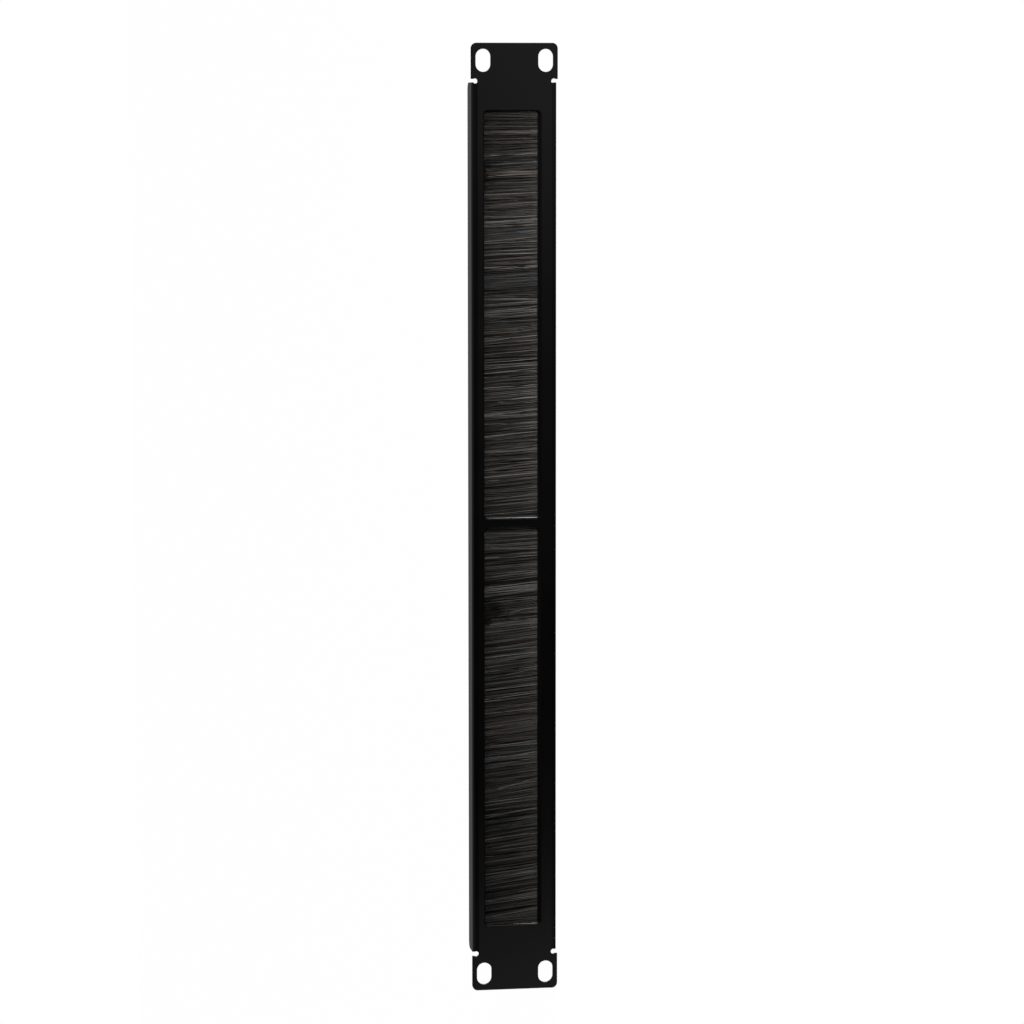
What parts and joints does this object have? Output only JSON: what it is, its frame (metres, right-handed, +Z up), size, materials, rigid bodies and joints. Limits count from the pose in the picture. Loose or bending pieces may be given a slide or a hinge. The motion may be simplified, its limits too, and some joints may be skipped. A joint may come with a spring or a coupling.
{
  "type": "cable management panel",
  "caption": "Rack-width folded steel panel, one unit high, with brush-filled windows that let cables pass through and keep dust out.",
  "frame": {"origin": "centre of the four rack slots, on the rear face of the ears that lies against the rack rails", "axes": "+X along the panel, +Y from the front face towards the rack, +Z up in the rack"},
  "size_m": [0.4826, 0.015, 0.044],
  "materials": {
    "powder_coat": "fine-textured satin black powder coat",
    "black_channel": "plain black coating",
    "wire_steel": "drawn galvanised wire",
    "bristle": "fine black nylon filaments with a soft sheen",
    "screw_steel": "black zinc"
  },
  "bodies": {
    "root": {"front_panel": "powder_coat", "brush_channel_left": "black_channel", "brush_channel_right": "black_channel", "core_wire_left": "wire_steel", "core_wire_right": "wire_steel", "bristles_left": "bristle", "bristles_right": "bristle", "retaining_angle_left": "black_channel", "retaining_angle_right": "black_channel", "retaining_screw_left_1": "screw_steel", "retaining_screw_left_2": "screw_steel", "retaining_screw_left_3": "screw_steel", "retaining_screw_left_4": "screw_steel", "retaining_screw_right_1": "screw_steel", "retaining_screw_right_2": "screw_steel", "retaining_screw_right_3": "screw_steel", "retaining_screw_right_4": "screw_steel"}
  },
  "joints": []
}
